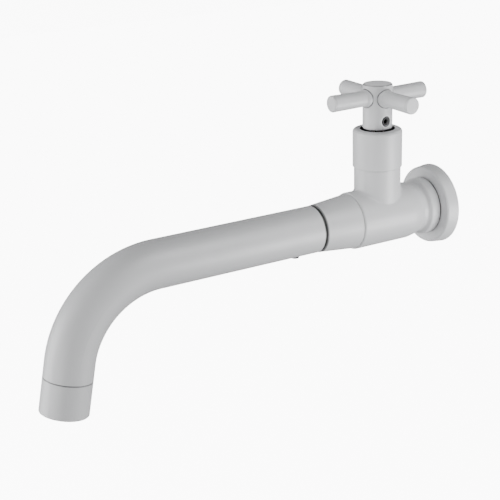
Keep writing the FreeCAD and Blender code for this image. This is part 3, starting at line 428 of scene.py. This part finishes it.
def spout_shade_bands():
    """Lines of painted shade at the chamfered edges of the spout's two joints, by the distance along the barrel
    and along the outlet.
    """
    barrel = Vector((0, -1, 0))
    cone_end = -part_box("slip_ring")[1].y
    spout_start = -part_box("spout_tube")[1].y
    nozzle = named(frame["record"]["mounts"], "outlet_nozzle")
    outlet = Vector(nozzle["axis"])
    half_nozzle = nozzle["dims"]["length_mm"] / 2 * MILLIMETRE
    tube_end = Vector(nozzle["pos_m"]).dot(outlet) - half_nozzle - COLLAR_SEAM
    return {
        # painted shade on both sides of each joint
        "spout_tube": [
            across(barrel, spout_start, before=0, after=0.35, lightness=0.3),
            across(outlet, tube_end, before=0.2, after=1.0, lightness=0.35),
        ],
        "outlet_connector": [across(barrel, cone_end, before=0.7, after=0.2, lightness=0.35)],
        "aerator_collar": [across(outlet, tube_end, before=1.0, after=0.55, lightness=0.35)],
    }


def valve_shade_and_light_bands():
    """Rings of painted shade and painted light on sleeve and handle, by the distance from the valve's axis or the
    screw.
    """
    upright = Vector((0, 0, 1))
    axis = Vector(named(frame["joints"], "handle_turn")["pos_m"])
    hub_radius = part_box("handle_hub")[1].x
    cap_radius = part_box("handle_cap")[1].x
    arm_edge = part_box("handle_arm_1")[1].x - ARM_TIP_EDGE
    screw_low, screw_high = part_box("handle_set_screw")
    mouth = Vector((hub_radius, axis.y, (screw_low.z + screw_high.z) / 2))
    shade_and_light_bands = {
        # painted shade inside the sleeve's mouth
        "bonnet_sleeve": [out_to(upright, SLEEVE_MOUTH_RADIUS, lightness=0.1, centre=axis)],
        "handle_hub": [
            # painted shade in the set screw's hole
            across(None, SCREW_MOUTH_RADIUS, before=0.35, after=0.05, lightness=0.45, centre=mouth),
            # painted highlight on the chamfer round the set screw's hole
            across(None, SCREW_MOUTH_RADIUS, before=-0.15, after=0.65, lightness=1.5, centre=mouth),
            # painted shade in the seam under the cap
            across(upright, cap_radius, before=0.2, after=0.3, lightness=0.5, centre=axis),
        ],
        "handle_cap": [
            # painted light on the cap's top
            out_to(upright, cap_radius - CAP_RIM, lightness=1.4, centre=axis),
            # painted shade in the seam at the cap's rim
            across(upright, cap_radius, before=0.3, after=0.1, lightness=0.5, centre=axis),
        ],
    }
    for arm in range(1, 5):
        shade_and_light_bands["handle_arm_%d" % arm] = [
            # painted shade in the crease where the arm meets the hub
            across(upright, hub_radius, before=0.25, after=0.35, lightness=0.3, centre=axis),
            # painted shade at the edge of the arm's tip
            across(upright, arm_edge, before=0.2, after=0.1, lightness=0.7, centre=axis),
        ]
    return shade_and_light_bands


def slot_finishes():
    """Material of each slot."""
    return {
        "grey_finish": grey_finish(),
        "brass": turned_brass(),
        "rubber": black_rubber(),
        "black_plastic": black_plastic(),
        "white_plastic": white_plastic(),
        "stainless": stainless(),
        "black_steel": black_steel(),
        "ceramic": ceramic(),
    }


def own_finishes():
    """Materials of the pieces with painted shade and painted light at their edges and joints, and of two in the
    shade under the hub, in brass with painted shade.
    """
    made = {}
    for node, shade_and_light_bands in (spout_shade_bands() | valve_shade_and_light_bands()).items():
        crevice_shade = HANDLE_CREVICE_SHADE if node.startswith("handle") else OTHER_CREVICE_SHADE
        made[node] = grey_finish("grey_coat_" + node, shade_and_light_bands, crevice_shade)
    made["cartridge_housing"] = painted_shade_brass()
    made["spindle"] = dull_brass()
    return made


def dress_nodes(slots):
    """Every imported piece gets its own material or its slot's."""
    own = own_finishes()
    for row in frame["record"]["subparts"]:
        piece = nodes[row["node"]]
        piece.data.materials.clear()
        piece.data.materials.append(own.get(row["node"], slots[row["material_slot"]]))


def thread_radius(turn, station):
    """Radius of the nipple's outside: a shank, then a rounded thread that fades in and ends in a chamfer."""
    if station < NIPPLE_SHANK_END:
        return NIPPLE_SHANK_RADIUS
    phase = 2 * math.pi * station / THREAD_PITCH - turn
    crest = (0.5 + 0.5 * math.cos(phase)) ** THREAD_ROUNDNESS
    radius = THREAD_ROOT_RADIUS + (THREAD_CREST_RADIUS - THREAD_ROOT_RADIUS) * crest
    run_in = min(1, (station - NIPPLE_SHANK_END) / THREAD_PITCH)
    radius = NIPPLE_SHANK_RADIUS + (radius - NIPPLE_SHANK_RADIUS) * run_in
    chamfer = THREAD_ROOT_RADIUS + (NIPPLE_END - station)
    return min(radius, chamfer)


def hexagon_radius(turn, flats):
    """Distance from the centre to a hexagon's side in one direction."""
    sixth = math.pi / 3
    within = (turn + sixth / 2) % sixth - sixth / 2
    return flats / 2 / math.cos(within)


def outside_rings(start, end):
    """Rings along the nipple's thread, each a radius and station in every direction."""
    steps = round((end - start) / THREAD_STEP)
    stations = [start + (end - start) * step / steps for step in range(steps + 1)]
    return [[(thread_radius(turn, station), station) for turn in NIPPLE_TURNS] for station in stations]


def inside_rings(start, end):
    """Rings from the nipple's end back through its hexagon key and bore."""
    key_floor = end - NIPPLE_KEY_DEPTH
    key = [[(hexagon_radius(turn, NIPPLE_KEY_FLATS), station) for turn in NIPPLE_TURNS]
           for station in (end, key_floor)]
    bore = [[(NIPPLE_BORE_RADIUS, station)] * NIPPLE_SIDES for station in (key_floor, start)]
    return key + bore


def ring_mesh(name, outside, inside):
    """Closed mesh round the Y axis, smooth along its outside and with sharp edges elsewhere."""
    mesh = bmesh.new()
    rows = []
    for ring in outside + inside:
        row = []
        for turn, (radius, station) in zip(NIPPLE_TURNS, ring):
            row.append(mesh.verts.new((radius * math.cos(turn), station, radius * math.sin(turn))))
        rows.append(row)
    last = len(outside) - 1
    for index, row in enumerate(rows):
        following = rows[(index + 1) % len(rows)]
        for side in range(len(row)):
            after = (side + 1) % len(row)
            face = mesh.faces.new((row[side], row[after], following[after], following[side]))
            face.smooth = index < last
            if index == 0 or index >= last:
                mesh.edges.get((row[side], row[after])).smooth = False
    bmesh.ops.recalc_face_normals(mesh, faces=mesh.faces)
    data = bpy.data.meshes.new(name)
    mesh.to_mesh(data)
    mesh.free()
    return data


def add_threaded_nipple(brass):
    """The nipple with its pipe thread, in place of the plain one."""
    low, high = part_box("inlet_nipple")
    assert abs(high.y - NIPPLE_END) < TOLERANCE
    data = ring_mesh("threaded_nipple", outside_rings(low.y, high.y), inside_rings(low.y, high.y))
    data.materials.append(brass)
    nipple = bpy.data.objects.new("threaded_nipple", data)
    bpy.context.scene.collection.objects.link(nipple)
    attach(nipple, "tap_body")
    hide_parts("inlet_nipple")


add_camera()
finishes = slot_finishes()
dress_nodes(finishes)
add_threaded_nipple(finishes["brass"])
add_floor()
add_world()
for panel in PANELS:
    add_panel(*panel)
